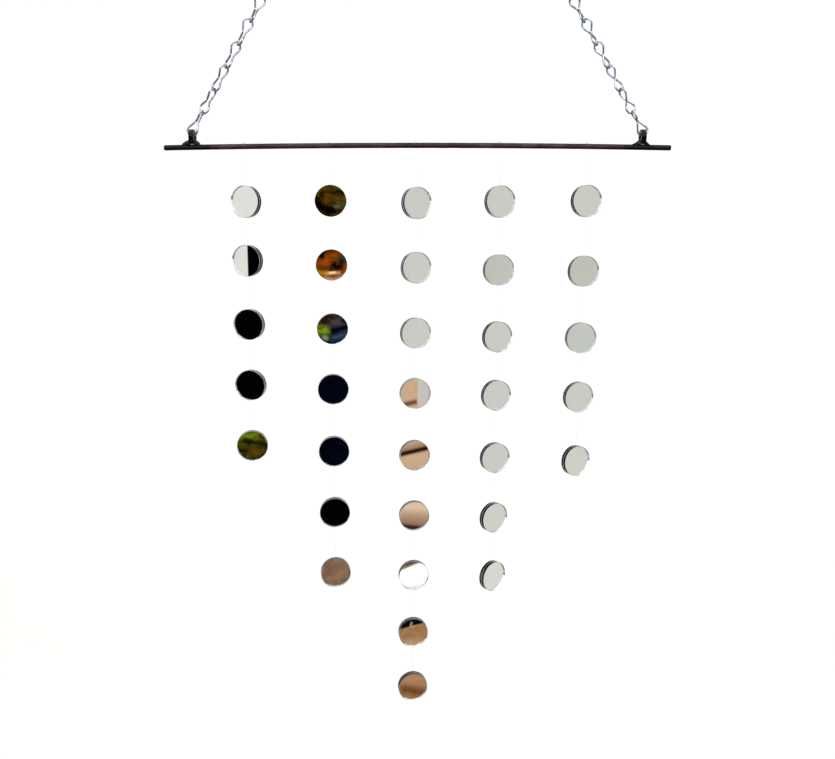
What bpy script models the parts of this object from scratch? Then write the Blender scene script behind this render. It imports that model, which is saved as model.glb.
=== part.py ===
# Hanging mobile of round mirrors on clear lines, below a steel rod on two lengths of jack chain
#
# Metres, +Z up. The origin is where the nail bears on the top link, the front faces -Y
# and the rod runs along X.

import math

import bmesh
import bpy
from mathutils import Matrix, Vector

# Rod
ROD_LENGTH = 0.402
ROD_DIAMETER = 0.0042
ROD_BOW = 0.0019
ROD_TIP_ROUND = 0.0009
ROD_SIDES = 10
ROD_STEPS = 10

# Hexagon nuts, welded on edge a short way in from the ends of the rod
NUT_INSET = 0.0228
NUT_ACROSS_FLATS = 0.0111
NUT_THICKNESS = 0.0040
NUT_HOLE = 0.0055
NUT_CHAMFER = 0.0007
NUT_BLANK_SIDES = 20
NUT_HOLE_SIDES = 14

# Weld metal on each side of a nut: reach along the rod, height above it, and flank shape
LEFT_WELD = {"reach": 0.0060, "height": 0.0041}
RIGHT_WELD = {"reach": 0.0037, "height": 0.0039}
CONVEX_FLANK = 0.55
CONCAVE_FLANK = 1.25
WELD_WIDTH = 0.0052
WELD_STEPS = 3
WELD_SIDES = 8

# Jack chain: links of two loops at right angles to each other
WIRE_DIAMETER = 0.0016
LOOP_LENGTH = 0.0105
LOOP_RADIUS = 0.0039
WAIST_RADIUS = 0.0012
LINKS_PER_LEG = 18
LINK_FUSE = 0.0005
NUT_LOOP_RADIUS = 0.0039
NUT_LOOP_LENGTH = 0.0117
NAIL_LOOP_RADIUS = 0.0043
NAIL_LOOP_LENGTH = 0.0112
TWIST_DEG = 90.0
TWIST_LINKS = 4.2
CANT_DEG = 4.5
CHAIN_SIDES = 4
CHAIN_LOOP_POINTS = 5
END_LINK_SIDES = 6
END_LINK_LOOP_POINTS = 9

# Lines and mirrors
LINE_DIAMETER = 0.00045
STRAND_SPACING = 0.068
FIRST_DROP = 0.0439
ROW_PITCH = 0.0522
MIRROR_DIAMETER = 0.0254
GLASS_THICKNESS = 0.0024
GLUE_THICKNESS = 0.0006
MIRROR_SIDES = 18
WRAP_TURNS = 1.25
WRAP_PITCH = 0.0009
WRAP_POINTS_PER_TURN = 8
LINE_END_MARGIN = 0.003

# Clearances
NODE_GAP = 0.0003
LINK_GAP = 0.0006
HOOK_GAP = 0.0008
SEAT_GAP = 0.0005
LINE_CLEARANCE = 0.0003

# Each strand as it is tied: place on the rod off its even spacing (mm), lean off plumb
# (degrees), slip of each mirror down its line (mm) and turn of each mirror about it (degrees)
STRANDS = (
    {
        "shift": -0.8,
        "lean": -0.3,
        "slips": (0, -5.5, -6, -8, -9),
        "turns": (-22, -19, -11, -9, 6),
    },
    {
        "shift": -1.3,
        "lean": -0.15,
        "slips": (-0.5, -2, -2.5, -4.5, -4, -3, -1.5),
        "turns": (5, 6, 9, 8, 7, 6, 11.4),
    },
    {
        "shift": -0.3,
        "lean": -0.5,
        "slips": (1, 0, 1, -1, -0.5, 0, 1, 1, -0.5),
        "turns": (30, 26, 22, 15, 14, 10, 10, 8, 10),
    },
    {
        "shift": -1.9,
        "lean": -0.3,
        "slips": (0, 2, 4, 0.5, 1.5, 1.5, 1.5),
        "turns": (21, 16, 23, 22, 22, 32, 38),
    },
    {
        "shift": -0.7,
        "lean": -0.6,
        "slips": (-0.5, 3, 5, 2, 4),
        "turns": (17, 13, 11, 17, 27),
    },
)

MM = 0.001
POLYGON_TOP = math.pi / 2

# Sizes worked out from the ones above
WIRE_RADIUS = WIRE_DIAMETER / 2
ROD_RADIUS = ROD_DIAMETER / 2
NUT_OFFSET = ROD_LENGTH / 2 - NUT_INSET
MIRROR_THICKNESS = 2 * GLASS_THICKNESS + GLUE_THICKNESS
CHANNEL_RADIUS = LINE_DIAMETER / 2 + LINE_CLEARANCE
LINE_FRONT = -(ROD_RADIUS + LINE_DIAMETER / 2 + NODE_GAP)


def clear_scene():
    for obj in list(bpy.data.objects):
        bpy.data.objects.remove(obj, do_unlink=True)


def make_material(name, colour, metallic, roughness):
    material = bpy.data.materials.new(name)
    material.use_nodes = True
    shader = material.node_tree.nodes["Principled BSDF"]
    shader.inputs["Base Color"].default_value = (*colour, 1.0)
    shader.inputs["Metallic"].default_value = metallic
    shader.inputs["Roughness"].default_value = roughness
    material.diffuse_color = (*colour, 1.0)
    return material


def add_object(name, mesh_data, material):
    obj = bpy.data.objects.new(name, mesh_data)
    bpy.context.scene.collection.objects.link(obj)
    mesh_data.materials.append(material)
    return obj


def finish_mesh(bm, name, material, sharp_deg=40):
    bmesh.ops.recalc_face_normals(bm, faces=bm.faces)
    mesh = bpy.data.meshes.new(name)
    bm.to_mesh(mesh)
    bm.free()
    mesh.shade_smooth()
    mesh.set_sharp_from_angle(angle=math.radians(sharp_deg))
    return add_object(name, mesh, material)


def add_boolean(obj, other, operation):
    modifier = obj.modifiers.new(operation.lower(), "BOOLEAN")
    modifier.operation = operation
    modifier.solver = "EXACT"
    modifier.object = other
    other.hide_render = True
    other.display_type = "WIRE"


def loft(bm, rings, closed=False):
    """Skins a row of rings, each a list of points, and caps its ends unless it is closed."""
    rows = [[bm.verts.new(point) for point in ring] for ring in rings]
    count = len(rows)
    for index in range(count if closed else count - 1):
        near = rows[index]
        far = rows[(index + 1) % count]
        for k in range(len(near)):
            after = (k + 1) % len(near)
            bm.faces.new((near[k], near[after], far[after], far[k]))
    if not closed:
        bm.faces.new(rows[0])
        bm.faces.new(rows[-1])


def wire_radius_of(sides):
    """Corner radius of a wire's polygon that has the wire's own area."""
    return WIRE_RADIUS * math.sqrt(2 * math.pi / (sides * math.sin(2 * math.pi / sides)))


def add_closed_wire(bm, points, sides):
    """A closed wire along a ring of points, with its polygon carried along without twist."""
    count = len(points)
    tangents = [(points[(k + 1) % count] - points[k - 1]).normalized() for k in range(count)]
    normal = tangents[0].orthogonal().normalized()
    frames = [normal]
    for k in range(1, count + 1):
        turn = tangents[k - 1].rotation_difference(tangents[k % count])
        normal = turn @ normal
        frames.append(normal)
    leftover = frames[0].angle(frames[count])
    if frames[0].cross(frames[count]).dot(tangents[0]) < 0:
        leftover = -leftover
    radius = wire_radius_of(sides)
    rings = []
    for k in range(count):
        undo = Matrix.Rotation(-leftover * k / count, 3, tangents[k])
        across = undo @ frames[k]
        beside = tangents[k].cross(across)
        ring = []
        for side in range(sides):
            angle = 2 * math.pi * side / sides
            offset = across * math.cos(angle) + beside * math.sin(angle)
            ring.append(points[k] + radius * offset)
        rings.append(ring)
    loft(bm, rings, closed=True)


def loop_outline(radius, length, count):
    """Wire centre round one pear-shaped loop, as (across, along) from the link's waist."""
    centre = length - radius
    spread = math.pi - math.acos(radius / centre)
    outline = []
    for k in range(count):
        angle = spread * (2 * k / (count - 1) - 1)
        outline.append((radius * math.sin(angle), centre + radius * math.cos(angle)))
    return outline


def link_points(waist, axis, across, twist, lower, upper, loop_points):
    """Wire centre of one link: the lower loop lies along across, turned by twist about axis."""
    beside = axis.cross(across)
    low_side = across * math.cos(twist) + beside * math.sin(twist)
    high_side = axis.cross(low_side)
    corner = (low_side + high_side).normalized() * WAIST_RADIUS
    points = [waist + low_side * a - axis * b for a, b in loop_outline(*lower, loop_points)]
    points.append(waist + corner)
    points += [waist + high_side * -a + axis * b for a, b in loop_outline(*upper, loop_points)]
    points.append(waist - corner)
    return points


class Leg:
    """One length of chain, from a nut up to the top link."""

    def __init__(self, side):
        self.side = side
        seat_radius = NUT_LOOP_RADIUS - WIRE_RADIUS - SEAT_GAP
        self.seat_rise = math.sqrt(seat_radius**2 - (NUT_THICKNESS / 2) ** 2)
        self.tips = [-NUT_LOOP_RADIUS]
        for index in range(LINKS_PER_LEG):
            self.tips.append(self.tips[-1] + self.rise(index))
        self.length = self.tips[-1]
        self.top = Vector((0, side * (WIRE_RADIUS + NODE_GAP / 2), hook_height()))
        run = Vector((side * NUT_OFFSET, -self.top.y))
        fall = math.sqrt(self.length**2 - run.length_squared)
        self.foot = Vector((side * NUT_OFFSET, 0, self.top.z - fall))
        self.axis = (self.top - self.foot).normalized()

    def twist(self, index):
        """Turn of a link about the chain, from flat at the nut to a quarter turn at the top."""
        share = 1 - math.exp(-index / TWIST_LINKS)
        whole = 1 - math.exp(-(LINKS_PER_LEG - 1) / TWIST_LINKS)
        return self.side * math.radians(TWIST_DEG) * share / whole

    def cant(self, index):
        """Lean of a link outwards from the chain, most where its upper loop faces the front."""
        return math.radians(CANT_DEG) * math.sin(self.twist(index)) ** 2

    def lower_loop(self, index):
        if index == 0:
            return (NUT_LOOP_RADIUS, NUT_LOOP_LENGTH)
        return (LOOP_RADIUS, LOOP_LENGTH)

    def rise(self, index):
        """From a link's lower tip to the wire that pulls on its upper loop, along the chain."""
        spare = {0: LINK_GAP, LINKS_PER_LEG - 1: HOOK_GAP}.get(index, -LINK_FUSE)
        seat = LOOP_RADIUS - WIRE_DIAMETER - spare
        span = self.lower_loop(index)[1] + LOOP_LENGTH - LOOP_RADIUS
        cant = self.cant(index)
        return span * math.cos(cant) + math.sqrt(seat**2 - (span * math.sin(cant)) ** 2)

    def link(self, index, loop_points):
        lower = self.lower_loop(index)
        upper = (LOOP_RADIUS, LOOP_LENGTH)
        outward = self.side * Vector((self.axis.z, 0, -self.axis.x)).normalized()
        cant = self.cant(index)
        axis = self.axis * math.cos(cant) + outward * math.sin(cant)
        across = Vector((axis.z, 0, -axis.x)).normalized()
        waist = self.foot + self.axis * self.tips[index] + axis * lower[1]
        return link_points(waist, axis, across, self.twist(index), lower, upper, loop_points)


def hook_height():
    """Wire centre at the foot of the top link, where both lengths of chain hook on."""
    return WIRE_RADIUS - NAIL_LOOP_LENGTH - LOOP_LENGTH


def nut_centre(leg):
    return leg.foot - Vector((0, 0, leg.seat_rise + NUT_HOLE / 2))


def rod_height(leg, x):
    """Height of the rod's axis at x, from where the nuts stand on it."""
    at_nut = nut_centre(leg).z - NUT_ACROSS_FLATS / 2 - NODE_GAP - ROD_RADIUS
    middle = at_nut + ROD_BOW * (2 * NUT_OFFSET / ROD_LENGTH) ** 2
    return middle - ROD_BOW * (2 * x / ROD_LENGTH) ** 2


def build_top_link(material):
    bm = bmesh.new()
    waist = Vector((0, 0, WIRE_RADIUS - NAIL_LOOP_LENGTH))
    lower = (LOOP_RADIUS, LOOP_LENGTH)
    upper = (NAIL_LOOP_RADIUS, NAIL_LOOP_LENGTH)
    up = Vector((0, 0, 1))
    side = Vector((0, 1, 0))
    points = link_points(waist, up, side, 0, lower, upper, END_LINK_LOOP_POINTS)
    add_closed_wire(bm, points, END_LINK_SIDES)
    finish_mesh(bm, "top_link", material)


def build_nut_link(leg, name, material):
    bm = bmesh.new()
    add_closed_wire(bm, leg.link(0, END_LINK_LOOP_POINTS), END_LINK_SIDES)
    finish_mesh(bm, name, material)


def build_chain(leg, name, material):
    """The rest of one length of chain, every other link joined to the ones between."""
    halves = []
    for start, half_name in ((1, name), (2, name + "_other_links")):
        bm = bmesh.new()
        for index in range(start, LINKS_PER_LEG, 2):
            add_closed_wire(bm, leg.link(index, CHAIN_LOOP_POINTS), CHAIN_SIDES)
        halves.append(finish_mesh(bm, half_name, material))
    add_boolean(halves[0], halves[1], "UNION")


def rod_ring(leg, x, radius):
    ring = []
    for k in range(ROD_SIDES):
        angle = 2 * math.pi * k / ROD_SIDES + POLYGON_TOP
        y = radius * math.cos(angle)
        z = rod_height(leg, x) + radius * math.sin(angle)
        ring.append(Vector((x, y, z)))
    return ring


def weld_ring(leg, x, height):
    """Section of a weld across the rod, sunk to the rod's axis."""
    top = ROD_RADIUS + height
    centre = rod_height(leg, x) + top / 2
    share = height / LEFT_WELD["height"]
    half_width = ROD_RADIUS + (WELD_WIDTH / 2 - ROD_RADIUS) * share
    ring = []
    for k in range(WELD_SIDES):
        angle = 2 * math.pi * k / WELD_SIDES + POLYGON_TOP
        y = half_width * math.cos(angle)
        z = centre + top / 2 * math.sin(angle)
        ring.append(Vector((x, y, z)))
    return ring


def build_weld(leg, outward, weld, flank, name, material):
    """Weld metal from a nut's face down to the rod, falling away along it."""
    bm = bmesh.new()
    start = leg.side * NUT_OFFSET + outward * (NUT_THICKNESS / 2 + NODE_GAP)
    rings = []
    for k in range(WELD_STEPS + 1):
        share = k / (WELD_STEPS + 0.25)
        height = weld["height"] * (1 - share) ** flank
        rings.append(weld_ring(leg, start + outward * weld["reach"] * share, height))
    loft(bm, rings)
    return finish_mesh(bm, name, material)


def build_crossbar(legs, material):
    """The bowed rod and the weld metal that has run into it."""
    leg = legs[0]
    half = ROD_LENGTH / 2
    stations = [(-half, ROD_RADIUS - ROD_TIP_ROUND)]
    inner = half - ROD_TIP_ROUND
    for k in range(ROD_STEPS + 1):
        stations.append((inner * (2 * k / ROD_STEPS - 1), ROD_RADIUS))
    stations.append((half, ROD_RADIUS - ROD_TIP_ROUND))
    bm = bmesh.new()
    loft(bm, [rod_ring(leg, x, radius) for x, radius in stations])
    rod = finish_mesh(bm, "crossbar", material)
    for leg, flank in zip(legs, (CONVEX_FLANK, CONCAVE_FLANK)):
        for outward, weld in ((-1, LEFT_WELD), (1, RIGHT_WELD)):
            name = f"weld_{leg.side:+d}_{outward:+d}"
            add_boolean(rod, build_weld(leg, outward, weld, flank, name, material), "UNION")


def build_nut(leg, name, material):
    """A hexagon nut standing on a flat, its hole along the rod."""
    centre = nut_centre(leg)
    half = NUT_THICKNESS / 2
    corner = NUT_ACROSS_FLATS / math.sqrt(3)
    bm = bmesh.new()
    rings = []
    for x in (-half, half):
        ring = []
        for k in range(6):
            angle = math.radians(60 * k)
            ring.append(Vector((x, corner * math.cos(angle), corner * math.sin(angle))))
        rings.append(ring)
    loft(bm, rings)
    nut = finish_mesh(bm, name, material)
    nut.location = centre

    bm = bmesh.new()
    face_radius = NUT_ACROSS_FLATS / 2
    body_radius = corner + NUT_CHAMFER
    slope = (body_radius - face_radius) / (corner - face_radius)
    reach = NUT_CHAMFER * slope
    profile = (
        (-half, face_radius),
        (-half + reach, body_radius),
        (half - reach, body_radius),
        (half, face_radius),
    )
    loft(bm, [circle_x(x, radius, NUT_BLANK_SIDES) for x, radius in profile])
    blank = finish_mesh(bm, name + "_turned_blank", material)
    blank.location = centre
    add_boolean(nut, blank, "INTERSECT")

    bm = bmesh.new()
    overrun = half + NUT_CHAMFER
    loft(bm, [circle_x(x, NUT_HOLE / 2, NUT_HOLE_SIDES) for x in (-overrun, overrun)])
    hole = finish_mesh(bm, name + "_hole", material)
    hole.location = centre
    add_boolean(nut, hole, "DIFFERENCE")


def circle_x(x, radius, sides):
    ring = []
    for k in range(sides):
        angle = 2 * math.pi * (k + 0.5) / sides
        ring.append(Vector((x, radius * math.cos(angle), radius * math.sin(angle))))
    return ring


def mirror_mesh(material):
    """Two round mirrors glued back to back, with the line's channel up the middle."""
    radius = MIRROR_DIAMETER / 2 / math.cos(math.pi / MIRROR_SIDES)
    bm = bmesh.new()
    rings = []
    for y in (-MIRROR_THICKNESS / 2, MIRROR_THICKNESS / 2):
        ring = []
        for k in range(MIRROR_SIDES):
            angle = 2 * math.pi * (k + 0.5) / MIRROR_SIDES + POLYGON_TOP
            ring.append(Vector((radius * math.cos(angle), y, radius * math.sin(angle))))
        rings.append(ring)
    loft(bm, rings)
    disc = finish_mesh(bm, "mirror_blank", material)

    bm = bmesh.new()
    rings = []
    for z in (-MIRROR_DIAMETER, MIRROR_DIAMETER):
        ring = []
        for k in range(6):
            angle = math.radians(60 * k)
            x = CHANNEL_RADIUS * math.cos(angle)
            ring.append(Vector((x, CHANNEL_RADIUS * math.sin(angle), z)))
        rings.append(ring)
    loft(bm, rings)
    channel = finish_mesh(bm, "mirror_channel", material)
    add_boolean(disc, channel, "DIFFERENCE")

    graph = bpy.context.evaluated_depsgraph_get()
    mesh = bpy.data.meshes.new_from_object(disc.evaluated_get(graph))
    mesh.name = "mirror"
    for helper in (disc, channel):
        bpy.data.objects.remove(helper, do_unlink=True)
    return mesh


class Strand:
    """One line and where its mirrors hang."""

    def __init__(self, leg, number, values):
        middle = (len(STRANDS) - 1) / 2
        self.number = number
        self.lean = math.radians(values["lean"])
        self.turns = values["turns"]
        self.tie_x = (number - 1 - middle) * STRAND_SPACING + values["shift"] * MM
        self.tie_z = rod_height(leg, self.tie_x)
        datum = rod_height(leg, 0)
        self.heights = []
        for row, slip in enumerate(values["slips"]):
            self.heights.append(datum - FIRST_DROP - row * ROW_PITCH - slip * MM)

    def point(self, z):
        """The point of the hanging line at height z."""
        x = self.tie_x + (self.tie_z - z) * math.tan(self.lean)
        return Vector((x, LINE_FRONT, z))

    def route(self):
        """From the knot on top of the rod, round it and down to the lowest mirror."""
        points = []
        steps = round(WRAP_TURNS * WRAP_POINTS_PER_TURN)
        for k in range(steps + 1):
            angle = 2 * math.pi * WRAP_TURNS * k / steps
            x = self.tie_x - WRAP_PITCH * WRAP_TURNS * (1 - k / steps)
            y = LINE_FRONT * math.sin(angle)
            z = self.tie_z - LINE_FRONT * math.cos(angle)
            points.append(Vector((x, y, z)))
        last = self.heights[-1]
        points.append(self.point((self.tie_z + last) / 2))
        points.append(self.point(last - MIRROR_DIAMETER / 2 + LINE_END_MARGIN))
        return points


def build_line(strand, material):
    name = f"nylon_line_{strand.number}"
    curve = bpy.data.curves.new(name, "CURVE")
    curve.dimensions = "3D"
    curve.bevel_depth = LINE_DIAMETER / 2
    curve.bevel_resolution = 2
    curve.use_fill_caps = True
    points = strand.route()
    spline = curve.splines.new("POLY")
    spline.points.add(len(points) - 1)
    for spline_point, point in zip(spline.points, points):
        spline_point.co = (*point, 1.0)
    add_object(name, curve, material)


def build_mirrors(strand, mesh):
    for row, (height, turn) in enumerate(zip(strand.heights, strand.turns)):
        obj = bpy.data.objects.new(f"mirror_{strand.number}_{row + 1}", mesh)
        bpy.context.scene.collection.objects.link(obj)
        place = Matrix.Translation(strand.point(height))
        lean = Matrix.Rotation(-strand.lean, 4, "Y")
        obj.matrix_world = place @ lean @ Matrix.Rotation(math.radians(turn), 4, "Z")


def main():
    clear_scene()
    rod_steel = make_material("rod_steel", (0.055, 0.045, 0.05), 0.6, 0.5)
    nut_steel = make_material("nut_steel", (0.05, 0.05, 0.055), 0.7, 0.45)
    zinc = make_material("zinc_chain", (0.62, 0.66, 0.72), 1.0, 0.28)
    nylon = make_material("clear_nylon", (0.85, 0.87, 0.88), 0.0, 0.15)
    silvered = make_material("silvered_glass", (0.82, 0.86, 0.85), 1.0, 0.03)

    legs = [Leg(-1), Leg(1)]
    build_top_link(zinc)
    for leg, side in zip(legs, ("left", "right")):
        build_nut(leg, f"{side}_nut", nut_steel)
        build_nut_link(leg, f"{side}_nut_link", zinc)
        build_chain(leg, f"{side}_chain", zinc)
    build_crossbar(legs, rod_steel)

    mesh = mirror_mesh(silvered)
    for number, values in enumerate(STRANDS, start=1):
        strand = Strand(legs[0], number, values)
        build_line(strand, nylon)
        build_mirrors(strand, mesh)


main()
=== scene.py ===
# Hanging mobile of round mirrors on clear lines: the finish of every piece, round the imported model
import math
import random

import bmesh
import bpy
from mathutils import Matrix, Vector, noise


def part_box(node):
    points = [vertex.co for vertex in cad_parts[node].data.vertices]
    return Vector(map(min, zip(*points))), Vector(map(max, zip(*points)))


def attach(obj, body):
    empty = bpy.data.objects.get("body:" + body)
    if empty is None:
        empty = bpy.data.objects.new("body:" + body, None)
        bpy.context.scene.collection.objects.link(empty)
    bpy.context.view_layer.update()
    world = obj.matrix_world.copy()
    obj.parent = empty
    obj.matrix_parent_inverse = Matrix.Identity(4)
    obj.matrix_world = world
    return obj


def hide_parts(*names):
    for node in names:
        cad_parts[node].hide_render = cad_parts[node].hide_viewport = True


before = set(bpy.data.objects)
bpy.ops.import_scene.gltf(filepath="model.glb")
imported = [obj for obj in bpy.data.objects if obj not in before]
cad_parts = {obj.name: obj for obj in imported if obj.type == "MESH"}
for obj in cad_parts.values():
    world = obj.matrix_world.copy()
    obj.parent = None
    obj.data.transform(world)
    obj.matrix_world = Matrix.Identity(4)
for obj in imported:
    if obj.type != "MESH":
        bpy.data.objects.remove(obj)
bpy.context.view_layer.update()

mm = 0.001
chance = random.Random(7)


# Camera

shot = {
    "place": (0, -0.7034, -0.3998),
    "pitchDownDeg": 9.57,
    "lens": 37.08,
    "sensor": 36,
    "clipStart": 0.02,
    "clipEnd": 40,
}


def setCamera():
    data = bpy.data.cameras.new("camera")
    data.lens = shot["lens"]
    data.sensor_width = shot["sensor"]
    data.sensor_fit = "HORIZONTAL"
    data.clip_start = shot["clipStart"]
    data.clip_end = shot["clipEnd"]
    camera = bpy.data.objects.new("camera", data)
    camera.location = shot["place"]
    camera.rotation_euler = (math.radians(90 - shot["pitchDownDeg"]), 0, 0)
    bpy.context.scene.collection.objects.link(camera)
    bpy.context.scene.camera = camera


# Small tools for meshes

def newPiece(name, bm, materials, sharpDeg):
    bmesh.ops.recalc_face_normals(bm, faces=bm.faces)
    mesh = bpy.data.meshes.new(name)
    bm.to_mesh(mesh)
    bm.free()
    mesh.shade_smooth()
    mesh.set_sharp_from_angle(angle=math.radians(sharpDeg))
    for material in materials:
        mesh.materials.append(material)
    piece = bpy.data.objects.new(name, mesh)
    bpy.context.scene.collection.objects.link(piece)
    return piece


# Rides on the one body and hides the nodes that it stands for
def hang(piece, slot, *nodes):
    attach(piece, "root")
    if nodes:
        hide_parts(*nodes)


# Quads between rows of points that go round, and a cap at each end
def skin(bm, rows, loop=True, endCaps=True):
    verts = [[bm.verts.new(point) for point in row] for row in rows]
    count = len(verts[0])
    for near, far in zip(verts, verts[1:]):
        for k in range(count if loop else count - 1):
            after = (k + 1) % count
            bm.faces.new((near[k], near[after], far[after], far[k]))
    if endCaps:
        bm.faces.new(verts[0])
        bm.faces.new(verts[-1])


# Rings of a wire along its points, carried along without twist
def sweepRows(points, radiusAt, sides):
    last = len(points) - 1
    tangents = []
    for k in range(last + 1):
        tangents.append((points[min(k + 1, last)] - points[max(k - 1, 0)]).normalized())
    across = tangents[0].orthogonal().normalized()
    rows = []
    for k, point in enumerate(points):
        if k:
            across = tangents[k - 1].rotation_difference(tangents[k]) @ across
        beside = tangents[k].cross(across)
        radius = radiusAt(k, last)
        row = []
        for side in range(sides):
            angle = 2 * math.pi * side / sides
            row.append(point + (across * math.cos(angle) + beside * math.sin(angle)) * radius)
        rows.append(row)
    return rows


# The same line with points about a step apart
def evenly(points, step):
    lengths = [(b - a).length for a, b in zip(points, points[1:])]
    whole = sum(lengths)
    count = max(2, round(whole / step))
    out = [points[0].copy()]
    span = 0
    done = 0.0
    for k in range(1, count):
        want = whole * k / count
        while done + lengths[span] < want:
            done += lengths[span]
            span += 1
        share = (want - done) / lengths[span]
        out.append(points[span].lerp(points[span + 1], share))
    out.append(points[-1].copy())
    return out


# Corners rounded as bent wire is, with the two ends left in place
def eased(points, passes):
    for _ in range(passes):
        inner = []
        for before, here, after in zip(points, points[1:], points[2:]):
            inner.append(here * 0.5 + (before + after) * 0.25)
        points = [points[0], *inner, points[-1]]
    return points


# Small tools for materials

# One material and short ways to wire its nodes
class Finish:

    def __init__(self, name, tree=None):
        if tree is None:
            self.material = bpy.data.materials.new(name)
            self.material.use_nodes = True
            tree = self.material.node_tree
            self.shader = tree.nodes["Principled BSDF"]
            self.output = tree.nodes["Material Output"]
        self.nodes = tree.nodes
        self.links = tree.links

    def add(self, kind, **values):
        node = self.nodes.new(kind)
        for key, value in values.items():
            setattr(node, key, value)
        return node

    def put(self, socket, value):
        if isinstance(value, bpy.types.NodeSocket):
            self.links.new(value, socket)
        else:
            socket.default_value = value

    def plain(self, **values):
        for key, value in values.items():
            self.shader.inputs[key.replace("_", " ")].default_value = value

    # Coordinates of the piece itself, in metres times the stretch
    def place(self, stretch=(1, 1, 1)):
        source = self.add("ShaderNodeTexCoord").outputs["Object"]
        mapping = self.add("ShaderNodeMapping")
        mapping.inputs["Scale"].default_value = stretch
        self.links.new(source, mapping.inputs["Vector"])
        return mapping.outputs["Vector"]

    def speckle(self, scale, detail=3, roughness=0.55, stretch=(1, 1, 1)):
        node = self.add("ShaderNodeTexNoise")
        self.links.new(self.place(stretch), node.inputs["Vector"])
        node.inputs["Scale"].default_value = scale
        node.inputs["Detail"].default_value = detail
        node.inputs["Roughness"].default_value = roughness
        return node.outputs["Fac"]

    def math(self, operation, a, b=0.0, clamp=False):
        node = self.add("ShaderNodeMath", operation=operation, use_clamp=clamp)
        self.put(node.inputs[0], a)
        self.put(node.inputs[1], b)
        return node.outputs[0]

    def span(self, value, low, high, outLow=0.0, outHigh=1.0):
        node = self.add("ShaderNodeMapRange")
        for key, number in (("From Min", low), ("From Max", high)):
            node.inputs[key].default_value = number
        for key, number in (("To Min", outLow), ("To Max", outHigh)):
            node.inputs[key].default_value = number
        self.links.new(value, node.inputs["Value"])
        return node.outputs["Result"]

    # Colours along a value, each stop a place and a colour
    def shades(self, value, *stops):
        ramp = self.add("ShaderNodeValToRGB")
        elements = ramp.color_ramp.elements
        while len(elements) < len(stops):
            elements.new(0.5)
        for element, (spot, colour) in zip(elements, stops):
            element.position = spot
            element.color = (*colour, 1)
        self.links.new(value, ramp.inputs["Fac"])
        return ramp.outputs["Color"]

    def blend(self, share, below, above):
        node = self.add("ShaderNodeMix", data_type="RGBA")
        self.put(node.inputs["Factor"], share)
        for socket, value in ((node.inputs[6], below), (node.inputs[7], above)):
            self.put(socket, value if isinstance(value, bpy.types.NodeSocket) else (*value, 1))
        return node.outputs[2]

    def relief(self, height, depth, strength, under=None):
        node = self.add("ShaderNodeBump")
        node.inputs["Strength"].default_value = strength
        node.inputs["Distance"].default_value = depth
        self.links.new(height, node.inputs["Height"])
        if under is not None:
            self.links.new(under, node.inputs["Normal"])
        return node.outputs["Normal"]

    def feed(self, **sockets):
        for key, source in sockets.items():
            self.links.new(source, self.shader.inputs[key.replace("_", " ")])


# Steel of the rod: bare mill scale in the middle, black paint at the ends

rodFinish = {
    "metallic": 0.75,
    "specular": 0.2,
    "steel": (
        (0.34, (0.030, 0.021, 0.026)),
        (0.52, (0.056, 0.034, 0.044)),
        (0.70, (0.12, 0.080, 0.085)),
    ),
    "broad": {"scale": 260, "detail": 4, "roughness": 0.6, "stretch": (0.35, 1, 1)},
    "fine": {"scale": 1500, "detail": 3, "roughness": 0.6, "stretch": (0.3, 1, 1)},
    "fineShare": 0.3,
    "paint": (0.0022, 0.0012, 0.0030),
    "paintFrom": 0.163,
    "paintFade": 0.0008,
    "paintWander": 0.006,
    "chips": (0.66, 0.70),
    "roughSteel": (0.30, 0.52),
    "roughPaint": 0.30,
    "grainDepth": 0.00006,
    "pitDepth": 0.00010,
}


def millScaleSteel():
    f = Finish("millScaleSteel")
    f.plain(Specular_IOR_Level=rodFinish["specular"])
    broad = f.speckle(**rodFinish["broad"])
    fine = f.speckle(**rodFinish["fine"])
    broadPart = f.math("MULTIPLY", broad, 1 - rodFinish["fineShare"])
    finePart = f.math("MULTIPLY", fine, rodFinish["fineShare"])
    steel = f.shades(f.math("ADD", broadPart, finePart), *rodFinish["steel"])
    along = f.add("ShaderNodeSeparateXYZ")
    f.links.new(f.place(), along.inputs[0])
    uneven = f.math("SUBTRACT", f.speckle(420, 3), 0.5)
    ragged = f.math("MULTIPLY", uneven, rodFinish["paintWander"])
    out = f.math("ADD", f.math("ABSOLUTE", along.outputs["X"]), ragged)
    painted = f.span(out, rodFinish["paintFrom"], rodFinish["paintFrom"] + rodFinish["paintFade"])
    chips = f.span(f.speckle(900, 4, 0.65), *rodFinish["chips"])
    cover = f.math("SUBTRACT", painted, f.math("MULTIPLY", painted, chips), clamp=True)
    roughness = f.add("ShaderNodeMix", data_type="FLOAT")
    f.put(roughness.inputs["Factor"], cover)
    f.put(roughness.inputs[2], f.span(fine, 0.3, 0.75, *rodFinish["roughSteel"]))
    f.put(roughness.inputs[3], rodFinish["roughPaint"])
    grain = f.relief(fine, rodFinish["grainDepth"], 0.6)
    pits = f.relief(f.speckle(700, 4, 0.7), rodFinish["pitDepth"], 0.7, grain)
    f.feed(
        Base_Color=f.blend(cover, steel, rodFinish["paint"]),
        Metallic=f.span(cover, 0, 1, rodFinish["metallic"], 0.0),
        Roughness=roughness.outputs[0],
        Normal=pits,
    )
    return f.material


weldFinish = {
    "metallic": 0.85,
    "colours": (
        (0.36, (0.005, 0.004, 0.005)),
        (0.52, (0.016, 0.013, 0.016)),
        (0.62, (0.055, 0.050, 0.055)),
        (0.72, (0.22, 0.21, 0.22)),
    ),
    "rough": (0.50, 0.20),
    "patchDepth": 0.00016,
    "grainDepth": 0.00005,
}


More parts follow.
